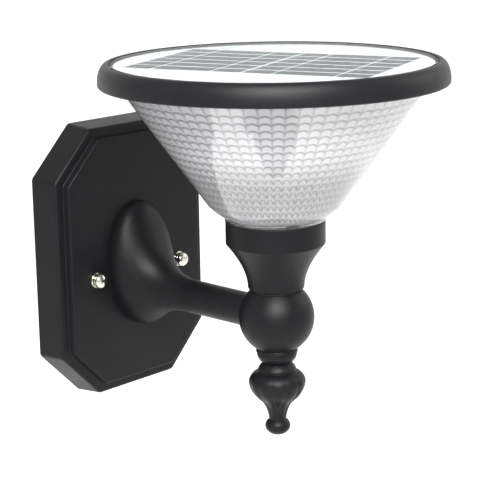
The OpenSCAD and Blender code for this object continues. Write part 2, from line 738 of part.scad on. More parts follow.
module led_leads() {
    lead_r = 1.1;
    away = wall_across + lead_r + 1.5;
    rise = tray_low - lens_z;
    start_z = led_base_top + lead_r;
    end_x = lens_radius(rise) - away - 6;
    function beside(share) = [lens_radius(share * rise) - away, 0, lens_z + share * rise];
    route = concat([[led_cover_r1, 0, start_z]],
        curve([led_cover_r1 + 5, 0, start_z], [beside(0.16)[0], 0, start_z + 2], beside(0.27), 5),
        [beside(0.6)],
        curve(beside(0.8), beside(0.92), [end_x, 0, tray_low - lead_r], 4),
        [[end_x, 0, tray_low]]);
    color(dark_rubber) on_head() rotate([0, 0, boss_angles[1] - 50])
        loft([for (i = [0:len(route) - 1]) tube_ring(route, i, lead_r, 8)]);
}

module lamp_tray() {
    top_in = ledge_r - 1.5;
    slope = 0.72;
    low_in = top_in - tray_depth * slope;
    color(white_plastic) on_head() difference() {
        rotate_extrude() polygon([[0, tray_low], [low_in - 1, tray_low], [low_in, tray_low + 1],
            [top_in, lens_top], [tray_flange_r, lens_top], [tray_flange_r, ledge_z],
            [top_in - tray_wall, ledge_z], [low_in - tray_wall, tray_floor], [0, tray_floor]]);
        for (i = [0:rim_screws - 1]) rotate([0, 0, i * 360 / rim_screws])
            translate([rim_screw_r, 0, lens_top - 1]) cylinder(r = m3 / 2 + slip_gap, h = tray_flange_t + 2);
        for (p = holder_screws()) translate([p[0], p[1], tray_low + 0.6])
            cylinder(r = small_screw / 2 + thread_gap, h = tray_wall);
    }
    color(white_plastic) on_head() for (p = board_posts()) translate([p[0], p[1], tray_floor - eps])
        difference() {
            cylinder(r = post_r, h = post_h);
            translate([0, 0, 1]) cylinder(r = small_screw / 2 + thread_gap, h = post_h);
        }
}

module rim_ring() {
    round_in = rim_open_r + 1.4;
    skirt = rim_low + 3;
    shoulder = arc([round_in, skirt], rim_r - round_in, rim_top - skirt, 0, 90, 16);
    color(black_paint) on_head() difference() {
        rotate_extrude() polygon(concat(
            [[rim_r - rim_wall, rim_low + 0.6], [rim_r - rim_wall + 0.6, rim_low],
             [rim_r - 1.6, rim_low], [rim_r - 0.4, rim_low + 1]],
            shoulder,
            [[rim_open_r, rim_top - 0.6], [rim_open_r, ledge_top], [ledge_r, ledge_top],
             [ledge_r, ledge_z], [rim_r - rim_wall, ledge_z]]));
        for (i = [0:rim_screws - 1]) rotate([0, 0, i * 360 / rim_screws])
            translate([rim_screw_r, 0, ledge_z - 1]) cylinder(r = m3 / 2 + thread_gap, h = ledge_t);
    }
}

module rim_screw_set() {
    l = lens_flange_t + tray_flange_t + ledge_t - 1.6;
    color(stainless) on_head() for (i = [0:rim_screws - 1]) rotate([0, 0, i * 360 / rim_screws])
        translate([rim_screw_r, 0, lens_top - lens_flange_t]) screw(m3, l);
}

holder_wall = 1.6;
battery_gap = 0.4;
holder_w = 2 * battery_d + 3 * battery_gap + 2 * holder_wall;
holder_l = battery_l + 2 * battery_gap + 2 * holder_wall;
holder_h = battery_d * 0.62;
holder_floor = 0.6;
holder_x = -26;
ear = 8;                                    // the holder's and strap's screw ears
ear_t = 2;
strap_t = 0.8;
strap_top = tray_floor + holder_floor + battery_d + 0.45;
small_screw = m3 - 0.5;
post_r = 3;
post_h = 4;
board_x = 46;
board_t = 1.6;
board_edge = 4;                             // board's screws from its edges

// Places of the screws that hold the battery's holder, outside its two long sides
function holder_screws() = [for (s = [-1, 1]) [holder_x + s * (holder_w / 2 + ear / 2), 0]];

// Places of the posts under the charging board
function board_posts() = [for (x = [-1, 1], y = [-1, 1])
    [board_x + x * (board_w / 2 - board_edge), y * (board_l / 2 - board_edge)]];

module battery_holder() {
    cell_axis = holder_floor + battery_d / 2;
    color(dark_rubber) on_head() translate([holder_x, 0, tray_floor]) difference() {
        union() {
            translate([-holder_w / 2, -holder_l / 2, 0]) cube([holder_w, holder_l, holder_h]);
            translate([-holder_w / 2 - ear, -ear / 2, 0]) cube([holder_w + 2 * ear, ear, ear_t]);
        }
        for (s = [-1, 1])
            translate([s * (battery_d + battery_gap) / 2, -holder_l / 2 + holder_wall, cell_axis])
                rotate([-90, 0, 0]) cylinder(d = battery_d + battery_gap, h = holder_l - 2 * holder_wall);
        translate([-holder_w / 2 + holder_wall, -holder_l / 2 + holder_wall, cell_axis])
            cube([holder_w - 2 * holder_wall, holder_l - 2 * holder_wall, holder_h]);
        for (p = holder_screws()) translate([p[0] - holder_x, p[1], -1])
            cylinder(r = m3 / 2 + seat_gap, h = ear_t + 2);
    }
}

module battery_cells() {
    lift = tray_floor + holder_floor + battery_d / 2;
    color([0.15, 0.35, 0.65]) on_head() for (s = [-1, 1])
        translate([holder_x + s * (battery_d + battery_gap) / 2, -battery_l / 2, lift])
            rotate([-90, 0, 0]) cylinder(d = battery_d - 0.1, h = battery_l);
}

module battery_strap() {
    foot = tray_floor + ear_t;
    half = holder_w / 2 + seat_gap;            // inside of the strap's upright legs
    color(zinc) on_head() translate([holder_x, 0, 0]) difference() {
        union() {
            for (s = [-1, 1]) {
                translate([s * (holder_w + ear) / 2 - ear / 2, -ear / 2, foot]) cube([ear, ear, strap_t]);
                translate([s * (half + strap_t / 2) - strap_t / 2, -ear / 2, foot])
                    cube([strap_t, ear, strap_top - foot]);
            }
            translate([-half - strap_t, -ear / 2, strap_top - strap_t / 2])
                cube([2 * (half + strap_t), ear, strap_t / 2]);
        }
        for (p = holder_screws()) translate([p[0] - holder_x, p[1], foot - 1])
            cylinder(r = m3 / 2 + seat_gap, h = strap_t + 2);
    }
}

module strap_screws() {
    color(stainless) on_head() for (p = holder_screws())
        translate([p[0], p[1], tray_floor + ear_t + strap_t]) rotate([180, 0, 0])
            screw(small_screw, ear_t + strap_t + 1);
}

module charge_board() {
    color(board_green) on_head() difference() {
        translate([board_x - board_w / 2, -board_l / 2, tray_floor + post_h])
            cube([board_w, board_l, board_t]);
        for (p = board_posts()) translate([p[0], p[1], tray_floor + post_h - 1])
            cylinder(r = m3 / 2 + seat_gap, h = board_t + 2);
    }
}

// The board's parts as [x, y, length, width, height], from the board's centre
chips = [[-5, -14, 9, 9, 1.4], [-9, 6, 6, 6, 2.6], [-7, -26, 14, 6, 4.5]];
capacitor_r = 3;
capacitor_h = 5;

module board_parts() {
    color([0.12, 0.12, 0.13]) on_head() translate([board_x, 0, tray_floor + post_h + board_t]) {
        for (c = chips) translate([c[0], c[1], 0]) cube([c[2], c[3], c[4]]);
        translate([board_w * 0.15, board_l * 0.13, 0]) cylinder(r = capacitor_r, h = capacitor_h);
    }
}

module board_screws() {
    color(stainless) on_head() for (p = board_posts())
        translate([p[0], p[1], tray_floor + post_h + board_t]) rotate([180, 0, 0])
            screw(small_screw, post_h);
}

module panel_backing() {
    color(white_plastic) on_head() translate([0, 0, backing_z]) cylinder(r = seal_in - seat_gap, h = backing_t);
}

module solar_cells() {
    strip_w = (cells_w - (cell_strips - 1) * cell_gap) / cell_strips;
    half_l = (cells_l - cell_gap) / 2;
    color(cell_grey) on_head() rotate([0, 0, -90]) for (i = [0:cell_strips - 1], e = [0, 1])
        translate([-cells_l / 2 + e * (half_l + cell_gap), -cells_w / 2 + i * (strip_w + cell_gap), cell_z])
            cube([half_l, strip_w, cell_t]);
}

module cell_ribbons() {
    w = 1.2;
    past = 2;
    color(stainless) on_head() rotate([0, 0, -90]) for (x = [-3, -1, 1, 3])
        translate([x / 8 * cells_l - w / 2, -cells_w / 2 - past, cell_z + cell_t])
            cube([w, cells_w + 2 * past, ribbon_t]);
}

module glass_seal() {
    out = rim_open_r - thread_gap;
    in = glass_r + thread_gap;
    top = glass_top - 0.8;
    color(dark_rubber) on_head() rotate_extrude()
        polygon([[seal_in, ledge_top], [out, ledge_top], [out, top], [in, top], [in, glass_z],
                 [seal_in, glass_z]]);
}

module solar_glass() {
    color([0.9, 0.95, 1, 0.3]) on_head() translate([0, 0, glass_z]) rotate_extrude()
        polygon([[0, 0], [glass_r, 0], [glass_r, glass_t - 0.5], [glass_r - 0.5, glass_t], [0, glass_t]]);
}

// Places the switch on the rear of the cup, its axis pointing out along +Z
module on_switch() {
    on_head() rotate([0, 0, switch_turn]) translate([0, cup_r, button_z]) rotate([-90, 0, 0]) children();
}

bezel_t = 1.6;
bezel_r = switch_d / 2 + 1.5;
spot_d = 1;                        // depth of the flat spot under the switch's bezel
button_proud = button_travel + 0.7;
button_l = 2.6 + bezel_t + button_proud;
switch_back = cup_wall + 8;
nut_corner = (switch_d + 3) / 2 / cos(30);
seat_in = cup_r - cup_wall - sqrt(pow(cup_r - cup_wall, 2) - pow(nut_corner, 2));  // inside curve

module power_switch() {
    color(black_paint) on_switch() difference() {
        union() {
            translate([0, 0, -spot_d]) cylinder(r = bezel_r, h = bezel_t + spot_d);
            translate([0, 0, -switch_back]) cylinder(d = switch_d, h = switch_back);
        }
        translate([0, 0, bezel_t + button_proud - button_l - button_travel - 0.4])
            cylinder(r = button_d / 2 + 0.08, h = button_l + 4);
    }
}

module switch_nut() {
    nut_t = 2.4;
    color(zinc) on_switch() translate([0, 0, -cup_wall - nut_t - seat_in]) difference() {
        cylinder(d = (switch_d + 3) / cos(30), h = nut_t, $fn = 6);
        translate([0, 0, -1]) cylinder(r = switch_d / 2 + thread_gap, h = nut_t + 2);
    }
}

module power_button() {
    color([0.6, 0.1, 0.1]) on_switch() translate([0, 0, bezel_t + button_proud - button_l])
        cylinder(d = button_d, h = button_l);
}

wall_plate();
mounting_bar();
fixing_screws();
lock_nuts();
nut_washers();
cap_nuts();
arm();
arm_screws();
ball_hub();
center_rod();
finial();
swivel_washer();
clamp_washer();
clamp_nut();
neck_cup();
lens_seal();
prism_lens();
lens_screws();
led_base();
led_board();
led_chips();
led_cover();
led_leads();
lamp_tray();
rim_ring();
rim_screw_set();
battery_holder();
battery_cells();
battery_strap();
strap_screws();
charge_board();
board_parts();
board_screws();
panel_backing();
solar_cells();
cell_ribbons();
glass_seal();
solar_glass();
power_switch();
switch_nut();
power_button();
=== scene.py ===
"""Looks of a solar wall light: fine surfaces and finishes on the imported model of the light.

All sizes are in metres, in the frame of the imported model: X along the wall, Y into the wall, Z up,
with the origin on the wall midway between the two fixing screws.
"""

from math import cos, pi, radians, sin

import bpy
import numpy as np
from mathutils import Matrix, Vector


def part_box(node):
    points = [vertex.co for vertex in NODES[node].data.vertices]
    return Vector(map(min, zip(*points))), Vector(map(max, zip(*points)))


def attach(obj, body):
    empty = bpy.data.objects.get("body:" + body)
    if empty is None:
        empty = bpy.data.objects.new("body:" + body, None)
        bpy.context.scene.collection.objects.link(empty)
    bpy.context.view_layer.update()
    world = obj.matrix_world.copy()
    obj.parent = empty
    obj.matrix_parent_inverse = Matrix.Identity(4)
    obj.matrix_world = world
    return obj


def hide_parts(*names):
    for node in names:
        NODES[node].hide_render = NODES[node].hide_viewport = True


bl_info = {
    "name": "Solar Wall Light",
    "version": (1, 0, 0),
    "blender": (4, 5, 0),
    "location": "3D View > Sidebar > Wall Light",
    "description": "Surfaces and finishes of a solar wall light, and the stage it is shown on",
    "category": "Object",
}

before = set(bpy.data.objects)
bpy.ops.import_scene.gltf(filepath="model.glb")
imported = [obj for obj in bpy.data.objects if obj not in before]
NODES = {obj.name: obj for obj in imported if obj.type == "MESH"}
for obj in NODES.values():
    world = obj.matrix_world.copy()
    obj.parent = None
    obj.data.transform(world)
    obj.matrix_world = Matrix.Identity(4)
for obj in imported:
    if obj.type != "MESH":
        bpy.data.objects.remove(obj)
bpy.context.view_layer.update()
MM = 0.001

WALL_SIDE = "wall_mount"
HEAD_SIDE = "head"

HEAD_TURN = radians(18.4)
NUT_RADIUS = 5.7 * MM
TURNING_PITCH = 0.25 * MM

# The printed pattern of the solar cells: the field's width, its strips and the gaps between them.
CELL_FIELD = 115 * MM
CELL_STRIPS = 6
CELL_GAP = 1.2 * MM
CELL_EDGE = 0.8 * MM
FINGER_PITCH = 2.2 * MM

FLOOR_HEIGHT = -0.55
FLOOR_HALF = 14.0
FLOOR_GLOW = 0.3
WORLD_FILL = 0.75

# The photograph's camera: pixels, millimetres, metres, and yaw, pitch and roll in degrees.
PHOTO_WIDTH = 500
FOCAL_PIXELS = 1578.94
SENSOR_WIDTH = 36.0
CAMERA_PLACE = (-0.83052, -0.92169, 0.31396)
CAMERA_ANGLES = (-47.17, -13.63, -0.89)


def length(name, default, description):
    """A size in metres that is shown in the sidebar, given here in millimetres."""
    return bpy.props.FloatProperty(
        name=name,
        description=description,
        default=default * MM,
        min=0.0,
        unit="LENGTH",
        precision=4,
    )


def colour(name, red, green, blue, description):
    """A colour that is shown in the sidebar, given here as it looks on a screen, from 0 to 255."""
    return bpy.props.FloatVectorProperty(
        name=name,
        description=description,
        subtype="COLOR",
        size=3,
        min=0.0,
        max=1.0,
        default=[linear(channel / 255) for channel in (red, green, blue)],
    )


def linear(level):
    """The light of a screen level: ((level + 0.055) / 1.055)^2.4, or level / 12.92 if very dark."""
    return ((level + 0.055) / 1.055) ** 2.4 if level > 10 / 255 else level / 12.92


def count(name, default, description):
    """A whole number that is shown in the sidebar."""
    return bpy.props.IntProperty(name=name, description=description, default=default, min=3)


class PlateSizes(bpy.types.PropertyGroup):
    """Sizes of the octagonal wall plate"""

    width: length("Width", 158.0, "Width of the plate at the wall")
    height: length("Height", 216.0, "Height of the plate at the wall")
    cut: length("Corner cut", 38.0, "Length cut off each corner, along either side")
    centre_up: length("Centre height", 11.2, "Height of the plate's centre above the fixing screws")
    depth: length("Band depth", 24.7, "Depth from the wall to the flat band")
    draft: length("Draft", 2.0, "How far the sides lean in from back to front")
    edge: length("Front edge", 1.8, "Rounding of the front edge")
    corner: length("Corner", 5.0, "Rounding of the upright corners")
    band: length("Band width", 7.4, "Width of the flat band round the raised panel")
    panel_rise: length("Panel rise", 5.6, "Height of the raised panel above the band")
    panel_edge: length("Panel edge", 1.2, "Rounding of the raised panel's edge")
    wall: length("Wall", 3.0, "Wall thickness of the casting")
    cove: length("Cove", 0.9, "Hollow rounding at the foot of the raised panel")


class ArmSizes(bpy.types.PropertyGroup):
    """Sizes of the arm with its oval foot"""

    reach: length("Reach", 177.3, "Distance from the wall to the lamp's axis")
    drop: length("Drop", 11.8, "How far the arm's middle lies below the fixing screws")
    foot_height: length("Foot height", 99.2, "Height of the oval foot")
    foot_width: length("Foot width", 61.0, "Width of the oval foot")
    foot_up: length("Foot centre", 18.3, "Height of the foot's centre above the arm")
    foot_end: length("Foot end", 56.0, "Distance from the plate to where the foot is all tube")
    flare_top: length("Top flare", 21.2, "Distance in which the foot's top sinks halfway")
    flare_side: length("Side flare", 23.4, "Distance in which the foot's sides draw in halfway")
    flare_low: length("Low flare", 27.8, "Distance in which the foot's underside rises halfway")
    tube_start: length("Tube at the foot", 12.8, "Radius of the tube where it leaves the foot")
    tube_end: length("Tube at the ball", 12.6, "Radius of the tube at the ball")


class FinialSizes(bpy.types.PropertyGroup):
    """Sizes of the turned finial, its heights measured down from the ball's centre"""

    ball: length("Ball", 27.9, "Radius of the ball hub")
    flange: length("Flange", 15.4, "Radius of the top flange")
    urn: length("Urn", 21.2, "Greatest radius of the urn")
    stem: length("Stem", 6.4, "Radius of the stem")
    tip: length("Tip", 9.45, "Radius of the ball at the tip")
    lobe_depth: length("Lobes", 0.8, "Depth of the valleys between the lobes")
    lobes: count("Lobe count", 12, "Number of lobes round the urn")


class LensSizes(bpy.types.PropertyGroup):
    """Sizes of the prismatic lens"""

    foot: length("Foot radius", 37.4, "Radius of the lens at its lower lip")
    knee: length("Knee radius", 49.0, "Radius where the straight cone begins")
    top: length("Top radius", 113.6, "Radius of the lens at its top")
    curve: length("Curved foot", 11.7, "Height of the curved foot")
    height: length("Height", 102.9, "Height of the lens")
    wall: length("Wall", 3.0, "Wall thickness")
    lip: length("Lip", 2.4, "Height of the plain lip at the foot")
    depth: length("Prism depth", 1.4, "Depth of the hollow prisms on the inside")
    tall_row: bpy.props.FloatProperty(
        name="Top row", description="Height of the top row, in rows", default=1.7
    )
    columns: count("Columns", 72, "Number of prism columns round the lens")
    rows: count("Rows", 18, "Number of prism rows up the lens")


class FinishColours(bpy.types.PropertyGroup):
    """Colours of the finishes"""

    coat: colour("Black coat", 18, 18, 20, "Powder coat on the castings and the rim")
    steel: colour("Polished steel", 204, 202, 192, "Cap nuts and washers")
    zinc: colour("Zinc", 176, 178, 182, "Plated screws, rod and bar")
    rubber: colour("Rubber", 26, 26, 27, "Seals and leads")
    tray: colour("White plastic", 226, 227, 229, "Tray, LED base and panel backing")
    lens: colour("Clear plastic", 239, 239, 240, "Prismatic lens")
    cover: colour("Frosted plastic", 44, 50, 60, "Frosted cover over the LEDs")
    cell: colour("Solar cell", 34, 36, 42, "Silicon of the solar cells")
    board: colour("Circuit board", 24, 92, 52, "Solder mask of the charging board")


# Mesh building


def blended(a, b, c, steps):
    """Points of a quadratic curve from a to c drawn towards b: a(1-t)^2 + 2bt(1-t) + ct^2."""
    t = np.linspace(0, 1, steps + 1)[:, None]
    return np.array(a) * (1 - t) ** 2 + 2 * np.array(b) * t * (1 - t) + np.array(c) * t**2


def arc(centre, across, up, start, end, steps):
    """Points of an elliptical arc: centre + (across cos a, up sin a), with a in degrees."""
    a = np.radians(np.linspace(start, end, steps + 1))
    return np.array(centre) + np.stack([across * np.cos(a), up * np.sin(a)], axis=1)


def turned(profile, around):
    """Rings of a turned shape: a profile point (r, z) becomes the circle (r cos a, r sin a, z)."""
    a = np.linspace(0, 2 * pi, around, endpoint=False)
    r, z = np.array(profile)[:, 0:1], np.array(profile)[:, 1:2]
    return np.stack([r * np.cos(a), r * np.sin(a), z + 0 * a], axis=-1)


def shell(rings, joined=False):
    """Vertices and faces that join each ring of points to the next.

    A ring that has shrunk to a point becomes a pole. An open first or last ring is closed with one
    flat face, and joined rings close back on the first one instead.
    """
    rows, cols = rings.shape[:2]
    index = np.arange(rows * cols).reshape(rows, cols)
    pole = np.ptp(rings, axis=1).max(axis=1) < 1e-9
    index[pole] = index[pole, :1]
    low, high = (index, np.roll(index, -1, 0)) if joined else (index[:-1], index[1:])
    quads = np.stack([low, np.roll(low, -1, 1), np.roll(high, -1, 1), high], axis=-1).reshape(-1, 4)
    used = np.unique(quads)
    renumber = np.zeros(rows * cols, int)
    renumber[used] = np.arange(len(used))
    index, quads = renumber[index], renumber[quads]
    from_pole = quads[:, 0] == quads[:, 1]
    to_pole = quads[:, 2] == quads[:, 3]
    faces = quads[~from_pole & ~to_pole].tolist()
    faces += quads[from_pole & ~to_pole][:, 1:].tolist()
    faces += quads[to_pole & ~from_pole][:, :3].tolist()
    if not joined and not pole[0]:
        faces.append(index[0][::-1].tolist())
    if not joined and not pole[-1]:
        faces.append(index[-1].tolist())
    return rings.reshape(-1, 3)[used], faces


def piece(name, parts, body, slot, finish, stands_for, sharp=38.0, marks=None):
    """A finished piece made of one or more closed shells, riding on a body in place of CAD nodes.

    marks holds named values, one for each point, that its finish reads as attributes.
    """
    points, faces, start = [], [], 0
    for part_points, part_faces in parts:
        points.append(part_points)
        faces += [[i + start for i in face] for face in part_faces]
        start += len(part_points)
    mesh = bpy.data.meshes.new(name)
    mesh.from_pydata(np.concatenate(points).tolist(), [], faces)
    if signed_volume(mesh) < 0:
        mesh.flip_normals()
    mesh.shade_smooth()
    mesh.set_sharp_from_angle(angle=radians(sharp))
    mesh.materials.append(finish)
    for mark, values in (marks or {}).items():
        attribute = mesh.attributes.new(mark, "FLOAT", "POINT")
        attribute.data.foreach_set("value", values.astype(np.float32).ravel())
    obj = bpy.data.objects.new(name, mesh)
    bpy.context.scene.collection.objects.link(obj)
    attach(obj, body)
    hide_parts(*stands_for)


def signed_volume(mesh):
    """Volume inside a closed mesh, negative if it is inside out: the sum of a . (b x c) / 6."""
    mesh.calc_loop_triangles()
    corners = np.zeros(len(mesh.loop_triangles) * 3, np.int32)
    mesh.loop_triangles.foreach_get("vertices", corners)
    places = np.zeros(len(mesh.vertices) * 3)
    mesh.vertices.foreach_get("co", places)
    a, b, c = places.reshape(-1, 3)[corners.reshape(-1, 3)].transpose(1, 0, 2)
    return float(np.einsum("ij,ij->", a, np.cross(b, c)) / 6)


def paint(finish, *names):
    """Gives CAD nodes one finish."""
    for name in names:
        slots = NODES[name].data.materials
        slots.clear()
        slots.append(finish)


# Node materials


class Finish:
    """A node material in the making, with its Principled shader and short ways to add nodes."""

    def __init__(self, name, **sockets):
        self.material = bpy.data.materials.new(name)
        self.material.use_nodes = True
        self.tree = self.material.node_tree
        self.shader = self.tree.nodes["Principled BSDF"]
        for socket, value in sockets.items():
            self.shader.inputs[socket.replace("_", " ")].default_value = value
        self.coords = self.tree.nodes.new("ShaderNodeTexCoord").outputs["Object"]

    def node(self, kind, **settings):
        """Adds a shader node with its settings."""
        made = self.tree.nodes.new("ShaderNode" + kind)
        for key, value in settings.items():
            setattr(made, key, value)
        return made

    def feed(self, target, source):
        """Links a source to a socket, or sets the socket to a plain value."""
        if hasattr(source, "is_linked"):
            self.tree.links.new(source, target)
        else:
            target.default_value = source

    def noise(self, scale, detail=4.0):
        """Cloudy noise, its scale in features to the metre."""
        made = self.node("TexNoise")
        for key, value in (("Scale", scale), ("Detail", detail), ("Roughness", 0.6)):
            made.inputs[key].default_value = value
        self.feed(made.inputs["Vector"], self.coords)
        return made.outputs["Fac"]

    def crystals(self, scale):
        """Irregular cells, their scale in cells to the metre, dark at each one's own middle."""
        made = self.node("TexVoronoi")
        made.inputs["Scale"].default_value = scale
        self.feed(made.inputs["Vector"], self.coords)
        return made.outputs["Distance"]

    def math(self, operation, a, b=0.0, c=0.0, clamp=False):
        """Works out one operation on up to three patterns or numbers."""
        made = self.node("Math", operation=operation, use_clamp=clamp)
        for socket, source in zip(made.inputs, (a, b, c)):
            self.feed(socket, source)
        return made.outputs["Value"]

    def spread(self, source, low, high, from_low=0.3, from_high=0.7):
        """Stretches a pattern's middle range to run from low to high."""
        made = self.node("MapRange")
        self.feed(made.inputs["Value"], source)
        limits = {"From Min": from_low, "From Max": from_high, "To Min": low, "To Max": high}
        for key, value in limits.items():
            made.inputs[key].default_value = value
        return made.outputs["Result"]

    def mix(self, share, a, b):
        """A colour between a and b."""
        made = self.node("Mix", data_type="RGBA")
        self.feed(made.inputs["Factor"], share)
        for socket, source in ((made.inputs["A"], a), (made.inputs["B"], b)):
            self.feed(socket, source if hasattr(source, "is_linked") else (*source, 1.0))
        return made.outputs["Result"]

    def axes(self, vector=None):
        """X, Y and Z of a vector, or else of the piece's own coordinates, in metres."""
        made = self.node("SeparateXYZ")
        self.feed(made.inputs["Vector"], self.coords if vector is None else vector)
        return made.outputs["X"], made.outputs["Y"], made.outputs["Z"]

    def bump(self, height, distance, strength, after=None):
        """Relief from a pattern, its distance in metres."""
        made = self.node("Bump")
        made.inputs["Strength"].default_value = strength
        made.inputs["Distance"].default_value = distance
        self.feed(made.inputs["Height"], height)
        if after:
            self.feed(made.inputs["Normal"], after)
        return made.outputs["Normal"]

    def soft_edges(self, radius):
        """Normals that round off the sharp edges, by a radius in metres."""
        made = self.node("Bevel", samples=4)
        made.inputs["Radius"].default_value = radius
        return made.outputs["Normal"]

    def lets_lamps_through(self):
        """Lets the lamps light what lies behind this clear finish."""
        both = self.node("MixShader")
        self.feed(both.inputs["Fac"], self.node("LightPath").outputs["Is Shadow Ray"])
        self.feed(both.inputs[1], self.shader.outputs["BSDF"])
        self.feed(both.inputs[2], self.node("BsdfTransparent").outputs["BSDF"])
        self.feed(self.tree.nodes["Material Output"].inputs["Surface"], both.outputs["Shader"])
        return self.material

    def into(self, **sockets):
        """Feeds the shader's sockets and gives back the finished material."""
        for socket, source in sockets.items():
            self.feed(self.shader.inputs[socket.replace("_", " ")], source)
        return self.material


def shade(tint, factor):
    """A colour made darker or lighter by a factor."""
    return tuple(channel * factor for channel in tint)


def powder_coat(name, tint):
    """Satin black powder coat: fine orange peel, with faint cloudiness in tone and gloss."""
    f = Finish(name, Specular_IOR_Level=0.13)
    grain = f.noise(1700, detail=3.0)
    cloud = f.noise(38, detail=3.0)
    tone = f.mix(f.spread(cloud, 0.0, 1.0), shade(tint, 0.86), shade(tint, 1.12))
    specks = f.mix(f.spread(grain, 0.0, 0.35, 0.45, 0.75), tone, shade(tint, 1.9))
    relief = f.bump(grain, 0.16 * MM, 0.7, after=f.soft_edges(0.6 * MM))
    return f.into(Base_Color=specks, Roughness=f.spread(cloud, 0.34, 0.42), Normal=relief)


def polished_steel(name, tint, stud_x):
    """Bright steel with fine turning rings round the two studs, at x = -stud_x and x = stud_x."""
    f = Finish(name, Metallic=1.0)
    x, _, z = f.axes()
    from_axis = f.math("SUBTRACT", f.math("ABSOLUTE", x), stud_x)
    square = f.math("ADD", f.math("MULTIPLY", from_axis, from_axis), f.math("MULTIPLY", z, z))
    radius = f.math("SQRT", square)
    rings = f.math("SINE", f.math("MULTIPLY", radius, 2 * pi / TURNING_PITCH))
    smears = f.noise(300, detail=3.0)
    tone = f.mix(f.spread(smears, 0.0, 1.0), shade(tint, 0.9), tint)
    relief = f.bump(rings, 0.002 * MM, 0.6, after=f.soft_edges(0.3 * MM))
    return f.into(Base_Color=tone, Roughness=f.spread(smears, 0.05, 0.13), Normal=relief)


def plated_steel(name, tint, roughness=0.34):
    """Zinc-plated steel: crystalline patches in tone and gloss."""
    f = Finish(name, Metallic=1.0)
    patches = f.math("ADD", f.math("MULTIPLY", f.crystals(700), 0.6), f.noise(240), clamp=True)
    tone = f.mix(f.spread(patches, 0.0, 1.0, 0.3, 0.9), shade(tint, 0.8), shade(tint, 1.05))
    relief = f.bump(patches, 0.03 * MM, 0.4, after=f.soft_edges(0.3 * MM))
    rough = f.spread(patches, roughness - 0.06, roughness + 0.1)
    return f.into(Base_Color=tone, Roughness=rough, Normal=relief)


def moulded(name, tint, roughness=0.45, specular=0.5):
    """Moulded plastic or rubber: a fine even grain and a slight drift in tone."""
    f = Finish(name, Specular_IOR_Level=specular)
    fine = f.noise(1800, detail=2.0)
    drift = f.noise(45, detail=2.0)
    tone = f.mix(f.spread(drift, 0.0, 1.0), shade(tint, 0.94), tint)
    relief = f.bump(fine, 0.02 * MM, 0.6, after=f.soft_edges(0.4 * MM))
    rough = f.spread(fine, roughness - 0.05, roughness + 0.07)
    return f.into(Base_Color=tone, Roughness=rough, Normal=relief)


def clear_plastic(name, tint):
    """Moulded acrylic: clear, faintly rippled outside; hazy, with painted shade, on the prisms
    inside.
    """
    f = Finish(name, IOR=1.49, Specular_IOR_Level=0.0)
    ripple = f.noise(260, detail=2.0)
    plain = f.mix(f.spread(f.noise(60), 0.0, 1.0), shade(tint, 0.98), tint)
    inside = f.node("Attribute", attribute_name="inside").outputs["Fac"]
    # Painted shade: the mark "shade" darkens the prisms' colour where their refraction shows dark
    # arches and teeth.
    dark = f.node("Attribute", attribute_name="shade").outputs["Fac"]
    tone = f.mix(f.math("MULTIPLY", dark, 0.9), plain, shade(tint, 0.14))
    clear = f.spread(inside, 1.0, 0.32, 0.0, 1.0)
    rough = f.math("ADD", f.spread(inside, 0.03, 0.0, 0.0, 1.0), f.spread(ripple, 0.03, 0.07))
    relief = f.bump(ripple, 0.02 * MM, 0.5)
    f.into(Base_Color=tone, Roughness=rough, Transmission_Weight=clear, Normal=relief)
    return f.lets_lamps_through()


def frosted_plastic(name, tint):
    """Frosted cover: light passes, well scattered."""
    f = Finish(name, Transmission_Weight=0.35, IOR=1.46)
    frost = f.noise(2200, detail=2.0)
    tone = f.mix(f.spread(frost, 0.0, 1.0), shade(tint, 0.92), tint)
    relief = f.bump(frost, 0.03 * MM, 0.5)
    return f.into(Base_Color=tone, Roughness=f.spread(frost, 0.5, 0.62), Normal=relief)


def cover_glass(name):
    """Clear flat glass with the least waviness, its index low as under an anti-reflection coat."""
    f = Finish(name, Transmission_Weight=1.0, IOR=1.04)
    wave = f.noise(14, detail=2.0)
    tone = f.mix(f.spread(wave, 0.0, 1.0), (0.93, 0.97, 0.95), (0.96, 0.98, 0.97))
    relief = f.bump(wave, 0.02 * MM, 0.3)
    f.into(Base_Color=tone, Roughness=f.spread(wave, 0.0, 0.02), Normal=relief)
    return f.lets_lamps_through()


def silicon(name, tint, middle):
    """Solar cells: crystal mottling, fine printed fingers across each strip, and pale strip edges.

    The pattern is laid out from the field's middle, in a frame turned with the head.
    """
    f = Finish(name, Specular_IOR_Level=0.0)
    mapping = f.node("Mapping", vector_type="TEXTURE")
    mapping.inputs["Location"].default_value = middle
    mapping.inputs["Rotation"].default_value = (0.0, 0.0, HEAD_TURN)
    f.feed(mapping.inputs["Vector"], f.coords)
    across, along, _ = f.axes(mapping.outputs["Vector"])
    pitch = (CELL_FIELD + CELL_GAP) / CELL_STRIPS
    border = CELL_GAP / 2 + CELL_EDGE
    strip = f.math("MULTIPLY_ADD", across, 1 / pitch, CELL_STRIPS / 2)
    edge = f.math("LESS_THAN", f.math("PINGPONG", strip, 0.5), border / pitch)
    seam = f.math("LESS_THAN", f.math("ABSOLUTE", along), border)
    wave = f.math("FRACT", f.math("MULTIPLY", along, 1 / FINGER_PITCH))
    finger = f.math("MULTIPLY", f.math("LESS_THAN", wave, 0.1), 0.35)
    mottle = f.math("ADD", f.math("MULTIPLY", f.crystals(160), 0.7), f.noise(90), clamp=True)
    base = f.mix(f.spread(mottle, 0.0, 1.0, 0.3, 1.0), shade(tint, 0.85), shade(tint, 1.2))
    pale = f.math("MAXIMUM", finger, f.math("MAXIMUM", edge, seam))
    tone = f.mix(pale, base, (0.35, 0.36, 0.37))
    relief = f.bump(mottle, 0.01 * MM, 0.4)
    return f.into(Base_Color=tone, Roughness=f.spread(mottle, 0.45, 0.6), Normal=relief)


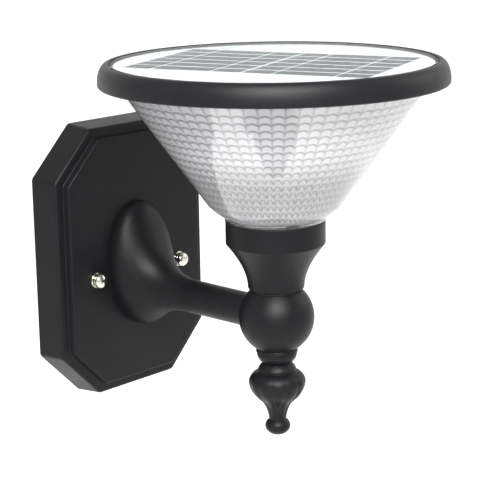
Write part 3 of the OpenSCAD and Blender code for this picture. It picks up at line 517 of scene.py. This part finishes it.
def circuit_board(name, tint):
    """Solder mask over copper tracks, as a fine pattern of lines and patches."""
    f = Finish(name)
    lines = f.spread(f.crystals(260), 1.0, 0.0, 0.28, 0.34)
    tone = f.mix(lines, tint, shade(tint, 1.7))
    relief = f.bump(lines, 0.03 * MM, 0.5)
    return f.into(Base_Color=tone, Roughness=f.spread(f.noise(500), 0.3, 0.4), Normal=relief)


# Pieces


def plate_rings(s, corner_steps=12):
    """Rings of the plate, from the hollow behind it round its rear edge to its raised panel's face.

    A path of (inset, depth, corner) is carried round an octagon: each corner point lies at
    the corner's centre + corner (cos a, sin a), and the centres move in with the inset.
    """
    step_in = s.draft + s.band
    panel_lean = s.panel_rise * 0.16
    top_in = step_in + panel_lean
    face = s.depth + s.panel_rise
    inner = s.wall
    small = s.corner * 0.6
    rim = arc((s.draft + s.edge, s.depth - s.edge), -s.edge, s.edge, 0, 90, 8)
    foot = arc((step_in - s.cove, s.depth + s.cove), s.cove, -s.cove, 90, 0, 6)
    lip = arc((top_in + s.panel_edge, face - s.panel_edge), -s.panel_edge, s.panel_edge, 0, 90, 8)
    hollow = np.array(
        [
            (top_in + inner + s.cove, face - inner),
            (top_in + inner, face - inner - s.cove),
            (step_in + inner, s.depth - inner),
            (s.draft + inner + s.cove, s.depth - inner),
            (s.draft + inner, s.depth - inner - s.cove),
            (inner, 0.0),
        ]
    )
    path = np.concatenate([hollow, [(0.0, 0.0)], rim, foot, lip])
    corner = np.concatenate(
        [
            np.full(len(hollow), small),
            [s.corner],
            np.linspace(s.corner, s.corner * 0.8, len(rim)),
            np.full(len(foot) + len(lip), small),
        ]
    )
    inset = path[:, 0] + corner
    half_w = s.width / 2 - inset
    half_h = s.height / 2 - inset
    cut = s.cut - inset * (2 - 2**0.5)
    centre_x = np.stack([half_w, half_w - cut, cut - half_w, -half_w], axis=1)
    centre_x = np.concatenate([centre_x, centre_x[:, ::-1]], axis=1)
    side, end = half_h - cut, half_h
    centre_z = np.stack([side, end, end, side, -side, -end, -end, -side], axis=1)
    a = np.radians(45 * (np.arange(8)[:, None] + np.linspace(0, 1, corner_steps + 1)))
    x = centre_x[:, :, None] + corner[:, None, None] * np.cos(a)
    z = centre_z[:, :, None] + corner[:, None, None] * np.sin(a)
    y = -np.broadcast_to(path[:, 1][:, None, None], x.shape)
    rings = np.stack([x, y, z + s.centre_up], axis=-1)
    return rings.reshape(len(path), -1, 3)


def arm_rings(s, face, end, around=120):
    """Rings of the arm: an oval that shrinks from the foot to the tube, then the tapering tube.

    The foot stands on the plate at the depth face, and the tube ends at the depth end. At a
    distance d out from the plate, (1 - (d/e)^3) / (1 + (d/flare)^bend) of the foot's swelling is
    left, where e is the foot's length.
    """
    out = s.foot_end * np.linspace(0, 1, 90) ** 1.15

    def left(flare, bend):
        return (1 - (out / s.foot_end) ** 3) / (1 + (out / flare) ** bend)

    foot_z = s.foot_up - s.drop
    swell_top = foot_z + s.foot_height / 2 + s.drop - s.tube_start
    swell_low = -s.drop - s.tube_start - foot_z + s.foot_height / 2
    top = -s.drop + s.tube_start + swell_top * left(s.flare_top, 3)
    low = -s.drop - s.tube_start - swell_low * left(s.flare_low, 3.7)
    half = s.tube_start + (s.foot_width / 2 - s.tube_start) * left(s.flare_side, 2.6)
    tube_out = np.linspace(s.foot_end, end - face, 12)[1:]
    share = (tube_out - tube_out[0]) / np.ptp(tube_out)
    tube = s.tube_start + (s.tube_end - s.tube_start) * share
    y = -face - np.concatenate([out, tube_out])
    middle = np.concatenate([(top + low) / 2, np.full(len(tube), -s.drop)])
    up = np.concatenate([(top - low) / 2, tube])
    across = np.concatenate([half, tube])
    a = np.linspace(0, 2 * pi, around, endpoint=False)
    x = across[:, None] * np.cos(a)
    z = middle[:, None] + up[:, None] * np.sin(a)
    return np.stack([x, np.broadcast_to(y[:, None], x.shape), z], axis=-1)


def finial_rings(s, top, steps=16, around=216):
    """Rings of the finial, its heights measured from the ball's centre.

    The urn's radius dips by depth sin(pi t) (1 - |sin(n a / 2)|), where t runs down the urn and
    stem and a goes round, which leaves n rounded lobes.
    """
    r, h = s.urn, MM
    collar_low, urn_wide, urn_low, stem_low = -41.4 * h, -50 * h, -63 * h, -78.6 * h
    neck, waist = s.flange - 0.6 * h, r * 0.66
    edge = 0.4 * h
    flange = [(0.0, top), (s.flange - edge, top), (s.flange, top - edge), (s.flange, -26.4 * h)]
    notch = [(s.flange - 0.8 * h, -27 * h)]
    bead = blended((neck, -28 * h), (neck, -31.2 * h), (11.3 * h, -34.4 * h), steps)
    collar = blended((10.7 * h, -35.2 * h), (14.8 * h, -38.6 * h), (13.9 * h, -41.3 * h), steps)
    shoulder = blended((14.2 * h, collar_low), (r - 0.4 * h, -43.8 * h), (r, urn_wide), steps)
    belly = blended((r, urn_wide), (r - 0.6 * h, -57.5 * h), (waist, urn_low), steps)[1:]
    taper = blended((waist, urn_low), (s.stem + 1.4 * h, -68.2 * h), (s.stem, stem_low), steps)[1:]
    tip = arc((0.0, -84.4 * h), s.tip, 7 * h, 48, -90, 28)
    profile = np.concatenate([flange, notch, bead, collar, shoulder, belly, taper, tip])
    profile[-1, 0] = 0.0
    down = np.clip((collar_low - profile[:, 1]) / (collar_low - stem_low), 0, 1)[:, None]
    a = np.linspace(0, 2 * pi, around, endpoint=False)
    dip = s.lobe_depth * np.sin(pi * down) * (1 - np.abs(np.sin(a * s.lobes / 2)))
    radius = profile[:, 0:1] - dip
    return np.stack([radius * np.cos(a), radius * np.sin(a), profile[:, 1:2] + 0 * a], axis=-1)


def lens_rings(s, across=8, along=8):
    """Rings of the lens, up its smooth outside and down its inside, and the marks its finish reads.

    Over each cell, with u and v from -1 to 1, the inside is dished by depth (1 - (u^2 + v^2) / 2),
    so it is deepest in the middle and its edges are sharp ridges. The mark "inside" is 1 on the
    prisms, and the mark "shade" holds the painted shade that darkens their colour for the dark
    arches and teeth of their refraction.
    """
    flange_r, flange_t = s.top + 2.6 * MM, 2.2 * MM
    floor_t, hole_r = 3 * MM, 30.9 * MM
    lean = (s.top - s.knee) / (s.height - s.curve)
    level_wall = s.wall * (1 + lean**2) ** 0.5
    pull = np.array([5.2, 5.6]) * MM
    knee = np.array([s.knee, s.curve])
    outside = blended((s.foot, s.lip), knee - pull, knee, 12)
    cone_top = [(s.top - lean * flange_t, s.height - flange_t), (flange_r, s.height - flange_t)]
    lip_foot = (s.foot - 0.4 * MM, 0.0)
    outside = np.concatenate([[lip_foot], outside, cone_top, [(flange_r, s.height)]])
    inner_knee = knee - (level_wall, 0.0)
    floor_edge = (s.foot - s.wall - 0.6 * MM, floor_t)
    inner_top = (s.top - level_wall, s.height)
    path = blended(floor_edge, inner_knee - pull, inner_knee, 40)
    path = np.concatenate([path, np.linspace(inner_knee, inner_top, 60)[1:]])
    run = np.concatenate([[0], np.cumsum(np.linalg.norm(np.diff(path, axis=0), axis=1))])
    pitch = run[-1] / (s.rows - 1 + s.tall_row)
    edges = np.append(np.arange(s.rows) * pitch, run[-1])
    step = np.linspace(0, 1, along, endpoint=False)
    stops = np.append((edges[:-1, None] + np.diff(edges)[:, None] * step).ravel(), run[-1])
    v = np.append(np.tile(2 * step - 1, s.rows), 1.0)
    surface = np.stack([np.interp(stops, run, path[:, k]) for k in (0, 1)], axis=1)
    slope = np.gradient(surface, axis=0)
    outward = np.stack([slope[:, 1], -slope[:, 0]], axis=1) / np.linalg.norm(slope, axis=1)[:, None]
    cols = s.columns * across
    u = 2 * (np.arange(cols) % across) / across - 1
    dish = s.depth * (1 - (u[None, :] ** 2 + v[:, None] ** 2) / 2)
    inside = surface[:, None, :] + outward[:, None, :] * dish[..., None]
    inside[0, :, 1] = inside[0, :, 1].clip(floor_t)
    inside[-1, :, 1] = s.height
    hole = [(hole_r, floor_t), (hole_r, 0.0)]
    plain = np.concatenate([outside, hole])
    plain = np.broadcast_to(plain[:, None, :], (len(plain), cols, 2))
    rings = np.concatenate([plain[: len(outside)], inside[::-1], plain[len(outside) :]])
    a = (np.arange(cols) + 0.5 * across) * 2 * pi / cols
    r, z = rings[..., 0], rings[..., 1]
    row = np.append(np.repeat(np.arange(s.rows), along), s.rows - 1) / (s.rows - 1)
    # Painted shade for the prisms' refraction, which the finish darkens their colour by.
    dark = painted_prism_shade(np.abs(u[None, :]), v[:, None], row[:, None])
    on_prisms = np.repeat([0, 1, 0], [len(outside), len(inside), len(hole)])
    painted_shades = [np.zeros((len(outside), cols)), dark[::-1], np.zeros((len(hole), cols))]
    marks = {"inside": on_prisms[:, None] + 0 * r, "shade": np.concatenate(painted_shades)}
    return np.stack([r * np.cos(a), r * np.sin(a), z], axis=-1), marks


def painted_prism_shade(side, up, row):
    """Painted shade of the prisms at a point, from 0 to 1: the darkness that their refraction shows.

    side and up place the point in its cell, side from 0 in the middle to 1 at either edge and up
    from -1 to 1, and row runs from 0 at the foot of the lens to 1 at its top. High rows are darkest
    along the arch up = 0.6 - 0.75 side^2, with paler columns between the cells. Low rows are
    darkest along the tooth up = 0.9 - 1.7 side. Rows from 0.35 to 0.6 pass from one to the other.
    """
    below_arch = 0.6 - 0.75 * side**2 - up
    arch = np.where(below_arch > 0, 1 - below_arch / 0.6, 1 + below_arch / 0.2).clip(0, 1)
    column = ((side - 0.7) / 0.3).clip(0, 1) * 0.45
    above_tooth = up - (0.9 - 1.7 * side)
    tooth = np.where(above_tooth > 0, 1 - above_tooth / 1.4, 1 + above_tooth / 0.3).clip(0, 1)
    # Painted shade in the upper rows: the arches and the columns beside them.
    high_painted_shade = np.maximum(arch, column)
    # Painted shade in the lower rows: the teeth over an even darkening, where the LED unit shows
    # through.
    low_painted_shade = 0.55 + 0.45 * tooth
    high = np.clip((row - 0.35) / 0.25, 0, 1)
    return low_painted_shade + (high_painted_shade - low_painted_shade) * high


def rim_profile(low, top, ledge_low, ledge_top):
    """Cross-section of the rim: an upright skirt, a round shoulder and a ledge for the panel."""
    rim_r, open_r, ledge_r, wall = 125 * MM, 117 * MM, 109 * MM, 3.5 * MM
    skirt, flat, foot_r, small = 3 * MM, 1.4 * MM, 1.6 * MM, 0.6 * MM
    shoulder_low = (open_r + flat, low + skirt)
    shoulder = arc(shoulder_low, rim_r - open_r - flat, top - low - skirt, 0, 90, 28)
    foot = [(rim_r - wall, low + small), (rim_r - wall + small, low), (rim_r - foot_r, low)]
    foot_round = arc((rim_r - foot_r, low + foot_r), foot_r, foot_r, -80, -5, 6)
    inside = [
        (open_r + 0.4 * MM, top - 0.1 * MM),
        (open_r, top - small),
        (open_r, ledge_top),
        (ledge_r, ledge_top),
        (ledge_r, ledge_low),
        (rim_r - wall, ledge_low),
    ]
    return np.concatenate([foot, foot_round, shoulder, inside])


def axis_point():
    """The lamp's axis at the height of the ball's centre."""
    arm = bpy.context.scene.wall_light_arm
    return np.array([0.0, -arm.reach, -arm.drop])


def turned_head(rings, lift):
    """Rings in the lamp's own frame, turned with the head and moved to the lamp's axis."""
    c, s = cos(HEAD_TURN), sin(HEAD_TURN)
    x, y, z = rings[..., 0], rings[..., 1], rings[..., 2]
    place = axis_point()
    return np.stack([x * c - y * s + place[0], x * s + y * c + place[1], z + lift], axis=-1)


class WALLLIGHT_OT_castings(bpy.types.Operator):
    """Makes the wall plate, the arm and the finial, and coats them, the ball and the cup"""

    bl_idname = "wall_light.castings"
    bl_label = "Castings"
    bl_options = {"REGISTER", "UNDO"}

    def execute(self, context):
        scene = context.scene
        coat = powder_coat("black_coat", scene.wall_light_colours.coat)
        plate, arm, finial = scene.wall_light_plate, scene.wall_light_arm, scene.wall_light_finial
        on_wall = (WALL_SIDE, "black_coat", coat)
        piece("plate_casting", [shell(plate_rings(plate))], *on_wall, ["wall_plate"])
        face = plate.depth + plate.panel_rise
        in_ball = 1 * MM
        end = arm.reach - (finial.ball**2 - arm.tube_end**2) ** 0.5 + in_ball
        piece("arm_casting", [shell(arm_rings(arm, face, end))], *on_wall, ["arm"])
        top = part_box("finial")[1].z + arm.drop
        rings = finial_rings(finial, top) + axis_point()
        piece("finial_casting", [shell(rings)], *on_wall, ["finial"], sharp=50.0)
        paint(coat, "ball_hub", "neck_cup")
        return {"FINISHED"}


class WALLLIGHT_OT_hardware(bpy.types.Operator):
    """Gives the nuts, screws, washers, rod and bar their metal finishes"""

    bl_idname = "wall_light.hardware"
    bl_label = "Hardware"
    bl_options = {"REGISTER", "UNDO"}

    def execute(self, context):
        tints = context.scene.wall_light_colours
        stud_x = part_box("cap_nuts")[1].x - NUT_RADIUS
        bright = polished_steel("polished_steel", tints.steel, stud_x)
        paint(bright, "cap_nuts", "nut_washers")
        zinc = plated_steel("zinc_plate", tints.zinc)
        paint(zinc, "mounting_bar", "arm_screws", "center_rod", "clamp_nut", "battery_strap")
        paint(zinc, "switch_nut")
        steel = plated_steel("stainless_steel", tints.steel, 0.26)
        paint(steel, "fixing_screws", "lock_nuts", "clamp_washer", "lens_screws", "rim_screw_set")
        paint(steel, "strap_screws", "board_screws")
        return {"FINISHED"}


class WALLLIGHT_OT_lens(bpy.types.Operator):
    """Makes the prismatic lens and finishes what is inside it"""

    bl_idname = "wall_light.lens"
    bl_label = "Lens"
    bl_options = {"REGISTER", "UNDO"}

    def execute(self, context):
        scene = context.scene
        tints = scene.wall_light_colours
        clear = clear_plastic("clear_plastic", tints.lens)
        rings, marks = lens_rings(scene.wall_light_lens)
        parts = [shell(turned_head(rings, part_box("prism_lens")[0].z), joined=True)]
        piece("lens_prisms", parts, HEAD_SIDE, "clear_plastic", clear, ["prism_lens"], 60.0, marks)
        paint(moulded("white_plastic", tints.tray), "lamp_tray", "led_base")
        paint(frosted_plastic("frosted_plastic", tints.cover), "led_cover")
        paint(moulded("led_board_white", shade(tints.tray, 0.9), 0.35), "led_board")
        paint(moulded("led_phosphor", (0.85, 0.62, 0.12), 0.3), "led_chips")
        return {"FINISHED"}


class WALLLIGHT_OT_panel(bpy.types.Operator):
    """Makes the rim and finishes the solar panel, the battery, the board and the seals"""

    bl_idname = "wall_light.panel"
    bl_label = "Solar panel and rim"
    bl_options = {"REGISTER", "UNDO"}

    def execute(self, context):
        tints = context.scene.wall_light_colours
        coat = powder_coat("rim_coat", shade(tints.coat, 1.35))
        low, top = (corner.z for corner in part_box("rim_ring"))
        ledge_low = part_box("lamp_tray")[1].z
        ledge_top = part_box("glass_seal")[0].z
        rings = turned_head(turned(rim_profile(low, top, ledge_low, ledge_top), 288), 0.0)
        parts = [shell(rings, joined=True)]
        piece("rim_casting", parts, HEAD_SIDE, "black_coat", coat, ["rim_ring"])
        paint(cover_glass("cover_glass"), "solar_glass")
        paint(silicon("silicon", tints.cell, axis_point()), "solar_cells")
        paint(plated_steel("cell_ribbon", (0.72, 0.73, 0.74), 0.3), "cell_ribbons")
        # Painted shade: the white backing takes the tray's white darkened to about half, in place of
        # less light on it under the glass.
        sheet = moulded("backing_painted_shade", shade(tints.tray, 0.52), 0.6, specular=0.0)
        paint(sheet, "panel_backing")
        rubber = moulded("dark_rubber", tints.rubber, 0.6)
        paint(rubber, "glass_seal", "lens_seal", "led_leads", "battery_holder")
        paint(moulded("nylon", (0.02, 0.02, 0.021), 0.5), "swivel_washer")
        paint(moulded("cell_wrap", (0.03, 0.12, 0.38), 0.3), "battery_cells")
        paint(circuit_board("circuit_board", tints.board), "charge_board")
        paint(moulded("chip_black", (0.02, 0.02, 0.022), 0.5), "board_parts")
        paint(moulded("switch_black", shade(tints.coat, 0.8), 0.4), "power_switch")
        paint(moulded("button_red", (0.42, 0.02, 0.02), 0.35), "power_button")
        return {"FINISHED"}


class WALLLIGHT_OT_stage(bpy.types.Operator):
    """Makes the pale floor, the soft lights, the white surroundings and the camera"""

    bl_idname = "wall_light.stage"
    bl_label = "Stage"
    bl_options = {"REGISTER", "UNDO"}

    def execute(self, context):
        scene = context.scene
        make_floor(FLOOR_HEIGHT, FLOOR_HALF)
        make_world(scene)
        over_viewer, plate_front = (-1.02, -1.14, 1.22), (0.0, -0.1, 0.0)
        make_lamp("key_light", over_viewer, plate_front, 0.8, 38.0)
        make_lamp("gloss_light", over_viewer, plate_front, 0.9, 90.0, diffuse=False)
        make_lamp("low_light", (-1.5, -0.9, 0.1), (0.0, -0.17, 0.1), 1.2, 9.5, mirrored=False)
        make_lamp("side_light", (1.7, -1.1, 0.9), (0.0, -0.1, 0.05), 1.1, 8.0)
        make_sun(scene)
        make_camera(scene)
        scene.view_settings.view_transform = "Standard"
        return {"FINISHED"}


def make_floor(height, half):
    """A wide pale floor under the light, which glows a little where it is seen."""
    mesh = bpy.data.meshes.new("floor")
    corners = [(x * half, y * half, height) for x, y in ((-1, -1), (1, -1), (1, 1), (-1, 1))]
    mesh.from_pydata(corners, [], [(0, 1, 2, 3)])
    floor = bpy.data.objects.new("floor", mesh)
    bpy.context.scene.collection.objects.link(floor)
    f = Finish("pale_floor", Emission_Color=(1.0, 1.0, 1.0, 1.0))
    drift = f.noise(2.0, detail=2.0)
    tone = f.mix(f.spread(drift, 0.0, 1.0), (0.93, 0.93, 0.93), (0.95, 0.95, 0.95))
    path = f.node("LightPath").outputs
    seen = f.math("MAXIMUM", path["Is Camera Ray"], path["Is Transmission Ray"])
    seen = f.math("MULTIPLY", f.math("MAXIMUM", seen, path["Is Glossy Ray"]), FLOOR_GLOW)
    mesh.materials.append(f.into(Base_Color=tone, Roughness=0.9, Emission_Strength=seen))


def make_world(scene):
    """White for the camera, in gloss and through glass, and a softer white as fill light."""
    world = bpy.data.worlds.new("white_room")
    scene.world = world
    world.use_nodes = True
    tree = world.node_tree
    path = tree.nodes.new("ShaderNodeLightPath")
    seen = path.outputs["Is Camera Ray"]
    for ray in ("Is Glossy Ray", "Is Transmission Ray"):
        either = tree.nodes.new("ShaderNodeMath")
        either.operation = "MAXIMUM"
        tree.links.new(seen, either.inputs[0])
        tree.links.new(path.outputs[ray], either.inputs[1])
        seen = either.outputs["Value"]
    level = tree.nodes.new("ShaderNodeMix")
    tree.links.new(seen, level.inputs["Factor"])
    level.inputs["A"].default_value = WORLD_FILL
    level.inputs["B"].default_value = 1.0
    background = tree.nodes["Background"]
    background.inputs["Color"].default_value = (1.0, 1.0, 1.0, 1.0)
    tree.links.new(level.outputs["Result"], background.inputs["Strength"])


def make_lamp(name, place, target, size, power, mirrored=True, diffuse=True):
    """A square soft lamp that looks at a point. It can be left out of gloss or of diffuse light."""
    data = bpy.data.lights.new(name, "AREA")
    data.shape = "SQUARE"
    data.size = size
    data.energy = power
    lamp = bpy.data.objects.new(name, data)
    back = np.array(place) - np.array(target)
    lamp.matrix_world = placed(*level_axes(back / np.linalg.norm(back)), place)
    lamp.visible_glossy = mirrored
    lamp.visible_diffuse = diffuse
    bpy.context.scene.collection.objects.link(lamp)


def make_sun(scene):
    """An even, very soft light from high up behind the viewer."""
    data = bpy.data.lights.new("even_light", "SUN")
    data.energy = 0.6
    data.angle = radians(60)
    sun = bpy.data.objects.new("even_light", data)
    sun.rotation_euler = (radians(42), 0.0, radians(-30))
    sun.visible_glossy = False
    scene.collection.objects.link(sun)


def level_axes(back):
    """The right, up and back directions of a lamp or camera that is held level."""
    right = np.cross((0.0, 0.0, 1.0), back)
    right = right / np.linalg.norm(right)
    return right, np.cross(back, right), back


def placed(right, up, back, place):
    """A matrix from its three axes and a place."""
    rows = np.stack([right, up, back, place], axis=1).tolist()
    return Matrix([*rows, (0.0, 0.0, 0.0, 1.0)])


def make_camera(scene):
    """The camera at the photograph's viewing angle."""
    yaw, pitch, roll = np.radians(CAMERA_ANGLES)
    forward = np.array([sin(-yaw) * cos(pitch), cos(yaw) * cos(pitch), sin(pitch)])
    right, up, back = level_axes(-forward)
    tilted = cos(roll) * right + sin(roll) * up
    upright = -sin(roll) * right + cos(roll) * up
    data = bpy.data.cameras.new("camera")
    data.sensor_width = SENSOR_WIDTH
    data.lens = FOCAL_PIXELS * SENSOR_WIDTH / PHOTO_WIDTH
    data.clip_start = 0.01
    camera = bpy.data.objects.new("camera", data)
    camera.matrix_world = placed(tilted, upright, back, CAMERA_PLACE)
    scene.collection.objects.link(camera)
    scene.camera = camera


class WALLLIGHT_PT_panel(bpy.types.Panel):
    """Lists the pieces of the wall light"""

    bl_label = "Wall Light"
    bl_idname = "WALLLIGHT_PT_panel"
    bl_space_type = "VIEW_3D"
    bl_region_type = "UI"
    bl_category = "Wall Light"

    def draw(self, context):
        """Shows one button for each operator."""
        for operator in OPERATORS:
            self.layout.operator(operator.bl_idname)


OPERATORS = (
    WALLLIGHT_OT_castings,
    WALLLIGHT_OT_hardware,
    WALLLIGHT_OT_lens,
    WALLLIGHT_OT_panel,
    WALLLIGHT_OT_stage,
)
GROUPS = {
    "wall_light_plate": PlateSizes,
    "wall_light_arm": ArmSizes,
    "wall_light_finial": FinialSizes,
    "wall_light_lens": LensSizes,
    "wall_light_colours": FinishColours,
}


def register():
    """Adds the sizes, the operators and the panel to Blender."""
    for cls in (*GROUPS.values(), *OPERATORS, WALLLIGHT_PT_panel):
        bpy.utils.register_class(cls)
    for name, group in GROUPS.items():
        setattr(bpy.types.Scene, name, bpy.props.PointerProperty(type=group))


def unregister():
    """Takes the panel, the operators and the sizes out again."""
    for name in GROUPS:
        delattr(bpy.types.Scene, name)
    for cls in (WALLLIGHT_PT_panel, *reversed(OPERATORS), *reversed(tuple(GROUPS.values()))):
        bpy.utils.unregister_class(cls)


def main():
    """Makes the light and its stage."""
    register()
    for operator in OPERATORS:
        group, name = operator.bl_idname.split(".")
        getattr(getattr(bpy.ops, group), name)()


if __name__ == "__main__":
    main()
